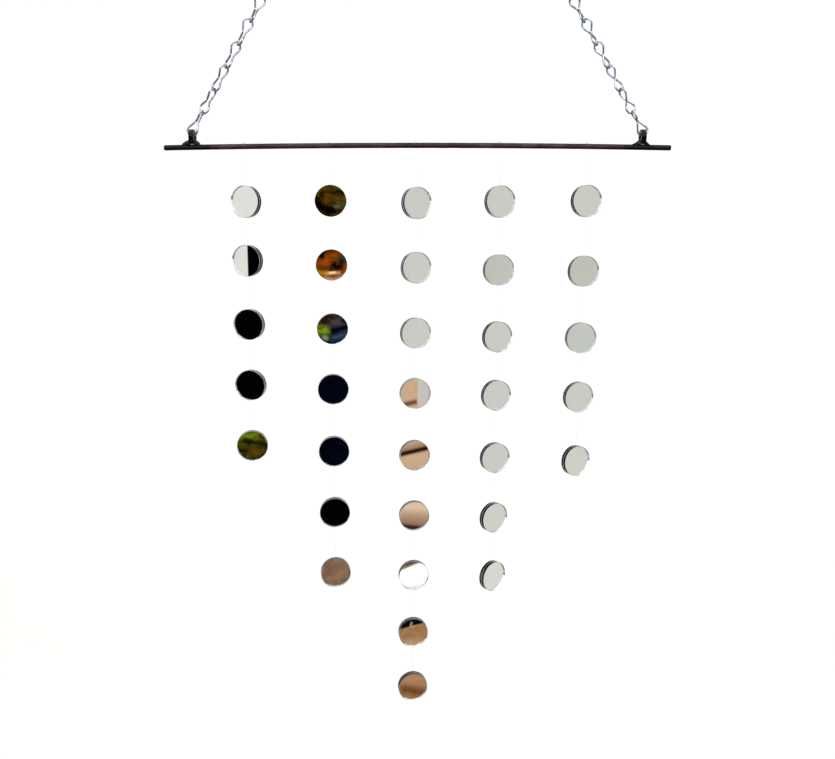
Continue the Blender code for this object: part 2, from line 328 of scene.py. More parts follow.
# Weld metal, dark with scale and bright where the slag has come off
def weldMetal():
    f = Finish("weldMetal")
    f.plain(Metallic=weldFinish["metallic"])
    patches = f.speckle(520, 4, 0.62)
    fine = f.speckle(2600, 3, 0.6)
    uneven = f.relief(patches, weldFinish["patchDepth"], 0.8)
    f.feed(
        Base_Color=f.shades(patches, *weldFinish["colours"]),
        Roughness=f.span(patches, 0.40, 0.68, *weldFinish["rough"]),
        Normal=f.relief(fine, weldFinish["grainDepth"], 0.7, uneven),
    )
    return f.material


nutFinish = {
    "metallic": 0.9,
    "colours": (
        (0.36, (0.006, 0.005, 0.008)),
        (0.56, (0.022, 0.019, 0.024)),
        (0.74, (0.12, 0.11, 0.12)),
    ),
    "rough": (0.24, 0.42),
    "markDepth": 0.00003,
    "grainDepth": 0.00004,
}


# Dark oiled steel, rubbed paler in places, with faint turning marks
def nutSteel():
    f = Finish("nutSteel")
    f.plain(Metallic=nutFinish["metallic"])
    worn = f.speckle(380, 4, 0.6)
    marks = f.speckle(900, 2, 0.5, (6, 1, 1))
    grain = f.relief(f.speckle(1600, 3), nutFinish["grainDepth"], 0.6)
    f.feed(
        Base_Color=f.shades(worn, *nutFinish["colours"]),
        Roughness=f.span(marks, 0.3, 0.7, *nutFinish["rough"]),
        Normal=f.relief(marks, nutFinish["markDepth"], 0.5, grain),
    )
    return f.material


zincFinish = {
    "colours": (
        (0.30, (0.20, 0.20, 0.29)),
        (0.47, (0.50, 0.56, 0.65)),
        (0.62, (0.68, 0.76, 0.82)),
        (0.76, (0.58, 0.57, 0.55)),
    ),
    "rough": (0.10, 0.26),
    "grainDepth": 0.00003,
}


# Bright bluish zinc on drawn wire, duller and darker in patches
def zincPlate():
    f = Finish("zincPlate")
    f.plain(Metallic=1.0)
    patches = f.speckle(340, 4, 0.6)
    drawn = f.speckle(1900, 3, 0.6)
    f.feed(
        Base_Color=f.shades(patches, *zincFinish["colours"]),
        Roughness=f.span(drawn, 0.3, 0.72, *zincFinish["rough"]),
        Normal=f.relief(drawn, zincFinish["grainDepth"], 0.5),
    )
    return f.material


nylonFinish = {
    "index": 1.08,
    "colours": ((0.3, (0.93, 0.96, 0.97)), (0.7, (1.0, 1.0, 1.0))),
    "rough": (0.02, 0.09),
}


def clearNylon():
    f = Finish("clearNylon")
    f.plain(Transmission_Weight=1.0, IOR=nylonFinish["index"])
    cloud = f.speckle(800, 3)
    f.feed(
        Base_Color=f.shades(cloud, *nylonFinish["colours"]),
        Roughness=f.span(cloud, 0.3, 0.7, *nylonFinish["rough"]),
    )
    return f.material


glassFinish = {
    "index": 1.52,
    "face": (0.985, 1.0, 0.995, 1),
    "tint": (0.50, 0.86, 0.84, 1),
    "density": 38.0,
    "haze": 0.02,
}


# Plain float glass: clear face on, sea green through its edge, with a little dust
def clearGlass():
    f = Finish("clearGlass")
    f.plain(Transmission_Weight=1.0, IOR=glassFinish["index"])
    f.plain(Base_Color=glassFinish["face"])
    dust = f.span(f.speckle(2400, 4, 0.7), 0.4, 0.7, 0.3, 1.0)
    smear = f.span(f.speckle(110, 3, 0.5, (1, 1, 2.2)), 0.52, 0.75, 0.0, glassFinish["haze"])
    f.feed(Roughness=f.math("MULTIPLY", smear, dust))
    soak = f.add("ShaderNodeVolumeAbsorption")
    soak.inputs["Color"].default_value = glassFinish["tint"]
    soak.inputs["Density"].default_value = glassFinish["density"]
    f.links.new(soak.outputs[0], f.output.inputs["Volume"])
    return f.material


silverFinish = {
    "rough": 0.004,
    "colours": ((0.3, (0.92, 0.93, 0.925)), (0.7, (0.955, 0.96, 0.95))),
    "rimDark": (0.30, 0.31, 0.33),
    "rimDarkWide": 0.0003,
    "rimDarkWander": 0.0010,
}


# The silver behind the glass, a shade darker in a thin, wandering band at its rim
def silvering(radius):
    f = Finish("silvering")
    f.plain(Metallic=1.0, Roughness=silverFinish["rough"])
    spot = f.add("ShaderNodeVectorMath", operation="LENGTH")
    f.links.new(f.place((1, 0, 1)), spot.inputs[0])
    uneven = f.math("SUBTRACT", f.speckle(600, 4), 0.5)
    rimShift = f.math("MULTIPLY", uneven, silverFinish["rimDarkWander"])
    out = f.math("ADD", spot.outputs["Value"], rimShift)
    edge = f.span(out, radius - silverFinish["rimDarkWide"], radius)
    cloud = f.shades(f.speckle(160, 3), *silverFinish["colours"])
    f.feed(Base_Color=f.blend(edge, cloud, silverFinish["rimDark"]))
    return f.material


backFinish = {
    "colours": (
        (0.34, (0.05, 0.065, 0.07)),
        (0.55, (0.16, 0.19, 0.20)),
        (0.74, (0.46, 0.50, 0.50)),
    ),
    "rough": (0.25, 0.5),
    "depth": 0.00012,
}


# Grey backing paint and the clear glue that holds the two mirrors together
def backingPaint():
    f = Finish("backingPaint")
    cloud = f.speckle(900, 4, 0.6)
    f.feed(
        Base_Color=f.shades(cloud, *backFinish["colours"]),
        Roughness=f.span(cloud, 0.3, 0.7, *backFinish["rough"]),
        Normal=f.relief(cloud, backFinish["depth"], 0.7),
    )
    return f.material


# Clear lines, each tied round the rod and glued between the mirrors

rod = {
    "length": 0.402,
    "diameter": 4.2 * mm,
    "bow": 1.9 * mm,
    "tipRound": 0.9 * mm,
    "tipSteps": 5,
    "uneven": 0.035 * mm,
    "sides": 28,
    "steps": 180,
}
line = {
    "diameter": 0.45 * mm,
    "turns": 1.25,
    "pitch": 0.9 * mm,
    "perTurn": 20,
    "gap": 0.3 * mm,
    "endMargin": 3 * mm,
    "shares": (0.02, 0.1, 0.3, 0.5, 0.7, 0.85, 1.0),
}
mirror = {
    "diameter": 25.4 * mm,
    "glass": 2.4 * mm,
    "glue": 0.6 * mm,
    "rows": (5, 7, 9, 7, 5),
}
lineFront = -(rod["diameter"] / 2 + line["diameter"] / 2 + line["gap"])


# Height of the rod's axis, from the nut that stands on it
def rodHeight(x):
    nutLow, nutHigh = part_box("left_nut")
    nutX = (nutLow[0] + nutHigh[0]) / 2
    atNut = nutLow[2] - line["gap"] - rod["diameter"] / 2
    middle = atNut + rod["bow"] * (2 * nutX / rod["length"]) ** 2
    return middle - rod["bow"] * (2 * x / rod["length"]) ** 2


def centreOf(node):
    low, high = (Vector(corner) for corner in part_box(node))
    return (low + high) / 2


# Where one line is tied, which way it hangs, and its lowest mirror
def lineThrough(strand):
    top = centreOf(f"mirror_{strand}_1")
    bottom = centreOf(f"mirror_{strand}_{mirror['rows'][strand - 1]}")
    slope = (bottom.x - top.x) / (top.z - bottom.z)
    tieX = top.x
    for _ in range(3):
        tieX = top.x - slope * (rodHeight(tieX) - top.z)
    return tieX, slope, bottom


# From the knot on top of the rod, round it and down through every mirror
def lineRoute(strand):
    tieX, slope, bottom = lineThrough(strand)
    tieZ = rodHeight(tieX)
    steps = round(line["turns"] * line["perTurn"])
    points = []
    for k in range(steps + 1):
        angle = 2 * math.pi * line["turns"] * k / steps
        x = tieX - line["pitch"] * line["turns"] * (1 - k / steps)
        points.append(Vector((x, lineFront * math.sin(angle), tieZ - lineFront * math.cos(angle))))
    end = bottom.z - mirror["diameter"] / 2 + line["endMargin"]
    for share in line["shares"]:
        z = tieZ + (end - tieZ) * share
        points.append(Vector((tieX + slope * (tieZ - z), lineFront, z)))
    return points


def curvePiece(name, points, diameter, material, order=2):
    curve = bpy.data.curves.new(name, "CURVE")
    curve.dimensions = "3D"
    curve.bevel_depth = diameter / 2
    curve.bevel_resolution = order
    curve.use_fill_caps = True
    spline = curve.splines.new("POLY")
    spline.points.add(len(points) - 1)
    for spot, point in zip(spline.points, points):
        spot.co = (*point, 1)
    spline.use_smooth = True
    curve.materials.append(material)
    piece = bpy.data.objects.new(name, curve)
    bpy.context.scene.collection.objects.link(piece)
    return piece


knot = {
    "size": 0.36 * mm,
    "points": 60,
    "open": 0.55,
    "rise": 0.9,
    "tag": 3.4 * mm,
    "tagShares": (0.35, 0.7, 1.0),
    "step": 0.12 * mm,
}


# A small overhand knot on top of the rod, with its cut tag standing off
def knotRoute(strand):
    start = lineRoute(strand)[0]
    points = []
    first = knot["open"]
    for k in range(knot["points"] + 1):
        t = first + (2 * math.pi - 2 * first) * k / knot["points"]
        x = math.sin(t) + 2 * math.sin(2 * t)
        y = math.cos(t) - 2 * math.cos(2 * t)
        z = -math.sin(3 * t)
        points.append(start + Vector((x, y, z + knot["rise"])) * knot["size"])
    tagWay = Vector((-0.55, -0.25 + 0.2 * strand % 0.7, 0.75)).normalized()
    tagEnd = points[-1] + tagWay * knot["tag"]
    points += [points[-1].lerp(tagEnd, share) for share in knot["tagShares"]]
    return eased(evenly(points, knot["step"]), 3)


def makeLines(material):
    for strand in range(1, len(mirror["rows"]) + 1):
        tie = curvePiece(f"knot_{strand}", knotRoute(strand), line["diameter"], material, 1)
        hang(tie, "clear_nylon")
        points = lineRoute(strand)
        piece = curvePiece(f"line_{strand}", points, line["diameter"], material)
        hang(piece, "clear_nylon", f"nylon_line_{strand}")


# Mirrors: two discs of glass, silvered behind and glued back to back round the line

disc = {
    "around": 96,
    "arris": 0.18 * mm,
    "arrisDepth": 0.18 * mm,
    "backArris": 0.12 * mm,
    "wander": 0.07 * mm,
    "silverInset": 0.20 * mm,
    "contact": 0.02 * mm,
    "coreBevel": (0.04 * mm, 0.03 * mm),
    "coreWander": 0.03 * mm,
    "glueSink": 0.30 * mm,
    "glueHalf": 0.1 * mm,
    "glueWander": 0.16 * mm,
}


# The mirror's own frame, with -Y out of its front face, read off its solid
def mirrorPlace(node):
    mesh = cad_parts[node].data
    front = max((p for p in mesh.polygons if p.normal.y < -0.5), key=lambda p: p.area)
    back = -Vector(front.normal)
    up = (Vector((0, 0, 1)) - back * back.z).normalized()
    right = back.cross(up)
    turn = Matrix((right, back, up)).transposed().to_4x4()
    return Matrix.Translation(centreOf(node)) @ turn


# A ring that wanders a little, as a hand-ground edge does
def wornRing(radius, y, seed, amount):
    points = []
    for k in range(disc["around"]):
        angle = 2 * math.pi * k / disc["around"]
        spot = Vector((3 * math.cos(angle), 3 * math.sin(angle), seed))
        local = radius + amount * (noise.noise(spot) + 0.5 * noise.noise(spot * 3.1))
        points.append(Vector((local * math.cos(angle), y, local * math.sin(angle))))
    return points


# One glass, side -1 in front and 1 behind
def glassDisc(name, side, seed, material):
    radius = mirror["diameter"] / 2
    outer = side * (mirror["glass"] + mirror["glue"] / 2)
    inner = side * mirror["glue"] / 2
    arris, depth, backArris = disc["arris"], disc["arrisDepth"], disc["backArris"]
    wander = disc["wander"]
    rows = [
        wornRing(radius - arris, outer, seed, wander),
        wornRing(radius - 0.42 * arris, outer - side * 0.40 * depth, seed, 0.6 * wander),
        wornRing(radius, outer - side * depth, seed, 0.25 * wander),
        wornRing(radius, inner + side * backArris, seed, 0.25 * wander),
        wornRing(radius - backArris, inner, seed + 9, 0.5 * wander),
    ]
    bm = bmesh.new()
    skin(bm, rows)
    return newPiece(name, bm, [material], 16)


# Silver on both faces, with the backing paint and the glue between
def mirrorCore(name, seed, silver, paint):
    radius = mirror["diameter"] / 2 - disc["silverInset"]
    half = mirror["glue"] / 2 + disc["contact"]
    inward, down = disc["coreBevel"]
    wander, glueWander = disc["coreWander"], disc["glueWander"]
    neck = radius - disc["glueSink"]
    rows = [
        wornRing(radius - inward, -half, seed, wander),
        wornRing(radius, -half + down, seed, wander),
        wornRing(neck, -disc["glueHalf"], seed, glueWander),
        wornRing(neck, disc["glueHalf"], seed + 5, glueWander),
        wornRing(radius, half - down, seed, wander),
        wornRing(radius - inward, half, seed, wander),
    ]
    bm = bmesh.new()
    skin(bm, rows)
    piece = newPiece(name, bm, [silver, paint], 20)
    for polygon in piece.data.polygons:
        polygon.material_index = 0 if len(polygon.vertices) > 4 else 1
    return piece


def makeMirrors(glass, silver, paint):
    for strand, rows in enumerate(mirror["rows"], start=1):
        for row in range(1, rows + 1):
            node = f"mirror_{strand}_{row}"
            place = mirrorPlace(node)
            seed = strand * 11.3 + row * 2.7
            parts = [
                glassDisc(f"glass_front_{strand}_{row}", -1, seed, glass),
                glassDisc(f"glass_back_{strand}_{row}", 1, seed + 40, glass),
                mirrorCore(f"silver_{strand}_{row}", seed + 80, silver, paint),
            ]
            for part in parts:
                part.matrix_world = place
                hang(part, "silvered_glass", node)


# Jack chain: every link is one bent wire, with its cut ends against its waist

chain = {
    "wire": 1.6 * mm,
    "loop": (3.9 * mm, 10.5 * mm),
    "nutLoop": (3.9 * mm, 11.7 * mm),
    "nailLoop": (4.3 * mm, 11.2 * mm),
    "waist": 1.2 * mm,
    "links": 18,
    "fuse": 0.5 * mm,
    "nutGap": 0.6 * mm,
    "hookGap": 0.8 * mm,
    "seatGap": 0.5 * mm,
    "twistDeg": 90,
    "twistLinks": 4.2,
    "cantDeg": 4.5,
    "sides": 14,
    "step": 0.42 * mm,
    "perLoop": 27,
    "cutBack": 0.10,
    "cutEnd": 0.08 * mm,
    "cutRadius": 0.80,
    "bent": 0.12 * mm,
    "bentScale": 120,
}


# One pear-shaped loop as (across, along), from the link's waist
def loopOutline(radius, length):
    centre = length - radius
    spread = math.pi - math.acos(radius / centre)
    last = chain["perLoop"] - 1
    outline = []
    for k in range(last + 1):
        angle = spread * (2 * k / last - 1)
        outline.append((radius * math.sin(angle), centre + radius * math.cos(angle)))
    return outline


# Centre of one link's wire, from one cut end to the other
def linkWire(waist, axis, across, twist, lower, upper, bent):
    beside = axis.cross(across)
    low = across * math.cos(twist) + beside * math.sin(twist)
    high = axis.cross(low)
    corner = (low + high).normalized() * chain["waist"]
    lowerLoop = [waist + low * a - axis * b for a, b in loopOutline(*lower)]
    upperLoop = [waist - high * a + axis * b for a, b in loopOutline(*upper)]
    start = (waist - corner).lerp(lowerLoop[0], chain["cutBack"])
    end = (waist - corner).lerp(upperLoop[-1], chain["cutBack"])
    points = [start, *lowerLoop, waist + corner, *upperLoop, end]
    points = eased(evenly(points, chain["step"]), 5)
    for point in points:
        away = (point - waist) * chain["bentScale"]
        point += low * bent * noise.noise(away) + high * bent * noise.noise(away + low)
    return points


# Full wire, eased at the two cut ends
def wireRadius(k, last):
    return chain["wire"] / 2 * (chain["cutRadius"] if k in (0, last) else 1.0)


def linkPiece(name, points, material):
    first = points[0] + (points[0] - points[1]).normalized() * chain["cutEnd"]
    final = points[-1] + (points[-1] - points[-2]).normalized() * chain["cutEnd"]
    bm = bmesh.new()
    skin(bm, sweepRows([first, *points, final], wireRadius, chain["sides"]))
    return newPiece(name, bm, [material], 40)


# One length of chain, from its nut to the top link
class Leg:

    def __init__(self, side, nutNode):
        self.side = side
        self.tips = [-chain["nutLoop"][0]]
        for index in range(chain["links"]):
            self.tips.append(self.tips[-1] + self.rise(index))
        hook = chain["wire"] / 2 - chain["nailLoop"][1] - chain["loop"][1]
        self.top = Vector((0, side * (chain["wire"] / 2 + line["gap"] / 2), hook))
        nutX = centreOf(nutNode).x
        across = math.hypot(nutX, self.top.y)
        fall = math.sqrt(self.tips[-1] ** 2 - across**2)
        self.foot = Vector((nutX, 0, self.top.z - fall))
        self.axis = (self.top - self.foot).normalized()

    def twist(self, index):
        share = 1 - math.exp(-index / chain["twistLinks"])
        whole = 1 - math.exp(-(chain["links"] - 1) / chain["twistLinks"])
        return self.side * math.radians(chain["twistDeg"]) * share / whole

    def cant(self, index):
        return math.radians(chain["cantDeg"]) * math.sin(self.twist(index)) ** 2

    # Room between a link and the next above it, less than none where the solids are fused
    def spare(self, index):
        return {0: chain["nutGap"], chain["links"] - 1: chain["hookGap"]}.get(index, -chain["fuse"])

    def rise(self, index):
        radius, length = chain["loop"]
        lowerLength = chain["nutLoop"][1] if index == 0 else length
        seat = radius - chain["wire"] - self.spare(index)
        span = lowerLength + length - radius
        cant = self.cant(index)
        return span * math.cos(cant) + math.sqrt(seat**2 - (span * math.sin(cant)) ** 2)

    def wire(self, index):
        radius, length = chain["loop"]
        above = self.spare(index)
        if index < chain["links"] - 1:
            above /= 2
        upper = (radius, length - above)
        if index == 0:
            lowerRadius, full = chain["nutLoop"]
            lower = (lowerRadius, full - chain["seatGap"])
        else:
            full = length
            lower = (radius, length - self.spare(index - 1) / 2)
        outward = self.side * Vector((self.axis.z, 0, -self.axis.x)).normalized()
        cant = self.cant(index)
        axis = self.axis * math.cos(cant) + outward * math.sin(cant)
        across = Vector((axis.z, 0, -axis.x)).normalized()
        waist = self.foot + self.axis * self.tips[index] + axis * full
        return linkWire(waist, axis, across, self.twist(index), lower, upper, chain["bent"])


def makeChain(material):
    waist = Vector((0, 0, chain["wire"] / 2 - chain["nailLoop"][1]))
    upward, across = Vector((0, 0, 1)), Vector((0, 1, 0))
    points = linkWire(waist, upward, across, 0, chain["loop"], chain["nailLoop"], 0.0)
    hang(linkPiece("link_top", points, material), "zinc_chain", "top_link")
    for side, name in ((-1, "left"), (1, "right")):
        leg = Leg(side, f"{name}_nut")
        for index in range(chain["links"]):
            piece = linkPiece(f"link_{name}_{index + 1:02d}", leg.wire(index), material)
            hang(piece, "zinc_chain", f"{name}_nut_link" if index == 0 else f"{name}_chain")


# Nuts, welded on edge to the rod

nut = {
    "acrossFlats": 11.1 * mm,
    "thickness": 4.0 * mm,
    "hole": 5.5 * mm,
    "chamfer": 0.7 * mm,
    "sink": 0.55 * mm,
    "threadPitch": 1.27 * mm,
    "threadDepth": 0.42 * mm,
    "threadFade": 0.5 * mm,
    "faceShare": 0.97,
    "weldedWithin": 0.005 * mm,
    "around": 120,
    "threadRows": 48,
}


# Rings from the middle of the bore, out over one face and round to the other
def nutRows():
    half = nut["thickness"] / 2
    flat = nut["acrossFlats"] / 2
    corner = nut["acrossFlats"] / math.sqrt(3)
    bore = nut["hole"] / 2

    def ring(xAt, radiusAt):
        row = []
        for k in range(nut["around"]):
            angle = 2 * math.pi * k / nut["around"]
            radius = radiusAt(angle)
            row.append(Vector((xAt(angle), radius * math.cos(angle), radius * math.sin(angle))))
        return row

    def hexagon(angle):
        return flat / math.cos(angle % (math.pi / 3) - math.pi / 6)

    def threadAt(x):
        def radiusAt(angle):
            phase = (x / nut["threadPitch"] + angle / (2 * math.pi)) % 1
            ridge = abs(2 * phase - 1)
            fade = min(1, (half - nut["sink"] - abs(x)) / nut["threadFade"])
            return bore + nut["threadDepth"] * ridge * max(0, fade)
        return radiusAt

    def sideAt(way):
        def xAt(angle):
            return way * (half - nut["chamfer"] * (hexagon(angle) - flat) / (corner - flat))
        return xAt

    rows = []
    inner = half - nut["sink"]
    for k in range(nut["threadRows"] + 1):
        x = inner * (2 * k / nut["threadRows"] - 1)
        rows.append(ring(lambda angle, x=x: x, threadAt(x)))
    rows.append(ring(lambda angle: half, lambda angle: bore + nut["sink"]))
    rows.append(ring(lambda angle: half, lambda angle: nut["faceShare"] * flat))
    rows.append(ring(sideAt(1), hexagon))
    rows.append(ring(sideAt(-1), hexagon))
    rows.append(ring(lambda angle: -half, lambda angle: nut["faceShare"] * flat))
    rows.append(ring(lambda angle: -half, lambda angle: bore + nut["sink"]))
    rows.append(rows[0])
    return rows


def makeNuts(material):
    for name in ("left", "right"):
        bm = bmesh.new()
        skin(bm, nutRows(), endCaps=False)
        bmesh.ops.remove_doubles(bm, verts=bm.verts, dist=nut["weldedWithin"])
        piece = newPiece(f"nut_{name}", bm, [material], 24)
        piece.location = centreOf(f"{name}_nut")
        hang(piece, "nut_steel", f"{name}_nut")


# Rod and the weld metal that holds the nuts

weld = {
    "left": {"reach": 6.0 * mm, "height": 4.1 * mm},
    "right": {"reach": 3.7 * mm, "height": 3.9 * mm},
    "flank": {"left": 0.55, "right": 1.25},
    "width": 5.2 * mm,
    "intoNut": 0.15 * mm,
    "past": 0.5 * mm,
    "skin": 0.10 * mm,
    "lumpScales": (520, 1300),
    "steps": 30,
    "sides": 40,
    "lumps": 0.34 * mm,
    "ripple": 0.10 * mm,
    "ripplePitch": 0.9 * mm,
}


def makeRod(material):
    half = rod["length"] / 2
    radius = rod["diameter"] / 2
    tip = rod["tipRound"]
    inner = half - tip
    ending = []
    for k in range(rod["tipSteps"] + 1):
        angle = math.pi / 2 * k / rod["tipSteps"]
        ending.append((inner + tip * math.sin(angle), radius - tip * (1 - math.cos(angle))))
    stations = [(-x, r) for x, r in reversed(ending)]
    for k in range(1, rod["steps"]):
        stations.append((inner * (2 * k / rod["steps"] - 1), radius))
    stations += ending
    rows = []
    for x, r in stations:
        row = []
        for k in range(rod["sides"]):
            angle = 2 * math.pi * k / rod["sides"]
            spot = Vector((x * 90, math.cos(angle), math.sin(angle)))
            local = r + rod["uneven"] * noise.noise(spot * 1.3)
            row.append(Vector((x, local * math.cos(angle), rodHeight(x) + local * math.sin(angle))))
        rows.append(row)
    bm = bmesh.new()
    skin(bm, rows)
    hang(newPiece("rod", bm, [material], 40), "rod_steel", "crossbar")


# One bead, from the nut's face down to the rod, lumpy and rippled
def weldBead(name, nutName, outward, material):
    shape = weld["left" if outward < 0 else "right"]
    flank = weld["flank"][nutName]
    start = centreOf(f"{nutName}_nut").x + outward * (nut["thickness"] / 2 - weld["intoNut"])
    seed = chance.uniform(0, 50)
    radius = rod["diameter"] / 2
    coarse, fine = weld["lumpScales"]
    rows = []
    for k in range(weld["steps"] + 1):
        share = k / weld["steps"]
        x = start + outward * (shape["reach"] + weld["past"]) * share
        height = shape["height"] * max(0.0, 1 - share) ** flank
        top = radius + height
        half = radius + (weld["width"] / 2 - radius) * height / weld["left"]["height"]
        half += weld["skin"]
        row = []
        for side in range(weld["sides"]):
            angle = 2 * math.pi * side / weld["sides"] + math.pi / 2
            y = half * math.cos(angle)
            z = top / 2 + top / 2 * math.sin(angle)
            point = Vector((x, y, rodHeight(x) + z))
            lump = noise.noise(point * coarse + Vector((seed, 0, 0)))
            lump += 0.5 * noise.noise(point * fine + Vector((0, seed, 0)))
            ripple = math.sin(2 * math.pi * (x + 0.35 * z) / weld["ripplePitch"])
            push = weld["lumps"] * lump + weld["ripple"] * ripple
            fade = min(1.0, 4 * (1 - share))
            away = Vector((0, math.cos(angle), max(0.0, math.sin(angle)))) * push * fade
            row.append(point + away)
        rows.append(row)
    bm = bmesh.new()
    skin(bm, rows)
    hang(newPiece(name, bm, [material], 60), "rod_steel", "crossbar")


def makeWelds(material):
    for nutName in ("left", "right"):
        for outward, place in ((-1, "west"), (1, "east")):
            weldBead(f"weld_{nutName}_{place}", nutName, outward, material)


# Floor, backdrop, lights and what the mirrors look out on

studio = {
    "floor": -1.30,
    "back": 1.8,
    "front": -5.0,
    "wide": 6.0,
    "high": 2.6,
    "sweep": 0.7,
    "sweepSteps": 12,
    "pale": (0.90, 0.895, 0.885),
    "rough": 0.9,
}


def paleSheet():
    f = Finish("paleSheet")
    cloud = f.speckle(2.0, 3)
    pale = studio["pale"]
    dim = tuple(0.985 * channel for channel in pale)
    f.feed(Base_Color=f.shades(cloud, (0.3, dim), (0.7, pale)))
    f.plain(Roughness=studio["rough"])
    return f.material


def makeFloor():
    profile = [(studio["front"], studio["floor"])]
    bend = studio["sweep"]
    for k in range(studio["sweepSteps"] + 1):
        angle = math.pi / 2 * k / studio["sweepSteps"]
        y = studio["back"] - bend + bend * math.sin(angle)
        profile.append((y, studio["floor"] + bend * (1 - math.cos(angle))))
    profile.append((studio["back"], studio["high"]))
    bm = bmesh.new()
    rows = [[Vector((x, y, z)) for y, z in profile] for x in (-studio["wide"], studio["wide"])]
    skin(bm, rows, loop=False, endCaps=False)
    floor = newPiece("floor", bm, [paleSheet()], 60)
    floor.visible_glossy = False
    floor.visible_transmission = False


# What stands round the mobile and is seen only in the mirrors, the glass and the steel.
# Each shape is at an azimuth from the front towards +X and an elevation, in degrees.
# A second colour mottles it, and ragged lets its edges wander.
def seen(at, half, soft, colour, **more):
    return {"at": at, "half": half, "soft": soft, "colour": colour, **more}


walls = (
    # bright window high in front, and the dim walls beside it
    seen((70, 20), (36, 13), 3, (0.26, 0.27, 0.35)),
    seen((-70, 20), (36, 13), 3, (0.26, 0.27, 0.35)),
    seen((0, 23), (48, 15), 2, (2.5, 2.6, 2.7)),
    # pale walls to the right and far left
    seen((36.5, -2.3), (2.4, 2.4), 4, (0.62, 0.565, 0.515)),
    seen((33, -7), (2.2, 1.6), 3, (0.64, 0.60, 0.57)),
    seen((70, -18), (9, 5), 5, (0.75, 0.68, 0.63)),
    seen((84, -23), (8, 4), 6, (0.81, 0.74, 0.70)),
    seen((-62, 0), (14, 7), 0.5, (0.88, 0.80, 0.77)),
    # dark doorway straight ahead
    seen((-17.285, -6), (31.785, 14), 0.05, (0.0006, 0.0006, 0.001)),
)

